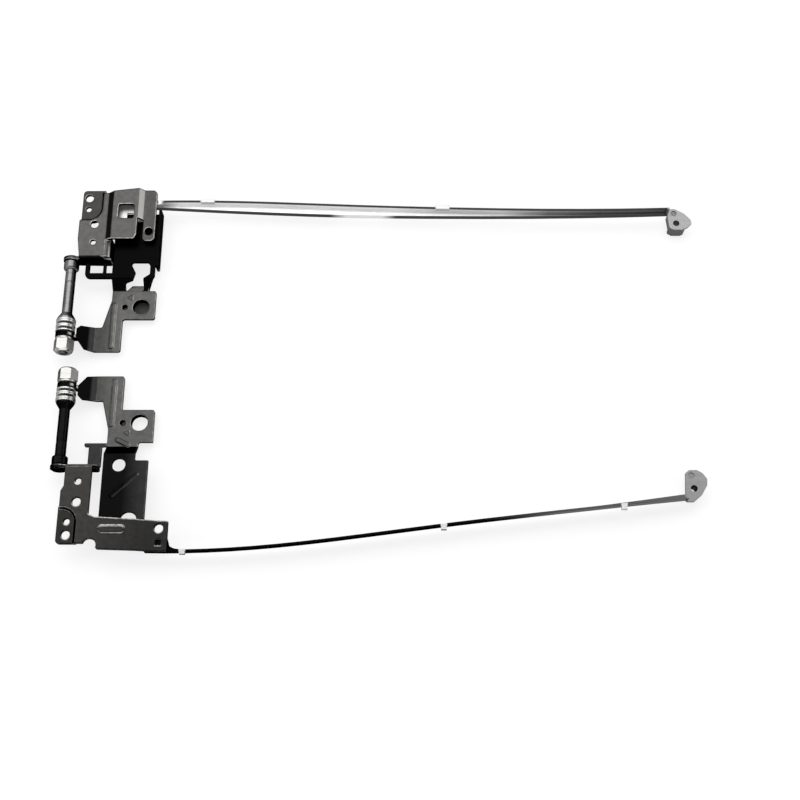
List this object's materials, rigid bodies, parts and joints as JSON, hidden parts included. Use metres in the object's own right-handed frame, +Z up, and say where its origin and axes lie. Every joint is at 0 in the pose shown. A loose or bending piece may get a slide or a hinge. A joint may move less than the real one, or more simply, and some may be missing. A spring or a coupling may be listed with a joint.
{
  "type": "laptop hinge pair",
  "caption": "Pair of laptop lid hinges: black folded brackets on a shaft with nut and disc springs, each with a long bent steel rail for the side of the screen.",
  "frame": {"origin": "middle of the bounding box on the surface the hinges lie on", "axes": "+X along the rails away from the shafts, +Y from the left hinge to the right hinge along the shafts, +Z up"},
  "size_m": [0.2286, 0.1354, 0.0104],
  "materials": {
    "black_sheet": "satin black coating",
    "rail_steel": "bare satin steel",
    "shaft_steel": "turned grey steel",
    "black_shaft": "glossy black oxide",
    "nickel_plate": "bright plating",
    "dark_steel": "oiled dark steel",
    "spring_steel": "polished spring steel"
  },
  "bodies": {
    "base": {"right_base_bracket": "black_sheet", "left_base_bracket": "black_sheet"},
    "right_lid": {"right_screen_bracket": "black_sheet", "right_rail": "rail_steel", "right_shaft": "shaft_steel", "right_hex_nut": "nickel_plate", "right_nut_washer": "nickel_plate", "right_outer_friction_washer": "dark_steel", "right_inner_friction_washer": "dark_steel", "right_shoulder_washer": "nickel_plate", "right_disc_spring_1": "spring_steel", "right_disc_spring_2": "spring_steel", "right_disc_spring_3": "spring_steel", "right_disc_spring_4": "spring_steel"},
    "left_lid": {"left_screen_bracket": "black_sheet", "left_rail": "rail_steel", "left_shaft": "black_shaft", "left_hex_nut": "nickel_plate", "left_nut_washer": "nickel_plate", "left_outer_friction_washer": "dark_steel", "left_inner_friction_washer": "dark_steel", "left_shoulder_washer": "nickel_plate", "left_disc_spring_1": "spring_steel", "left_disc_spring_2": "spring_steel", "left_disc_spring_3": "spring_steel", "left_disc_spring_4": "spring_steel"}
  },
  "joints": [
    {"name": "right_hinge", "type": "hinge", "parent": "base", "child": "right_lid", "pos_m": [-0.11073, 0.02304, 0.0056], "axis": [0, -1, 0], "range_deg": [0, 135]},
    {"name": "left_hinge", "type": "hinge", "parent": "base", "child": "left_lid", "pos_m": [-0.10823, -0.01986, 0.0056], "axis": [0, -1, 0], "range_deg": [0, 135]}
  ]
}
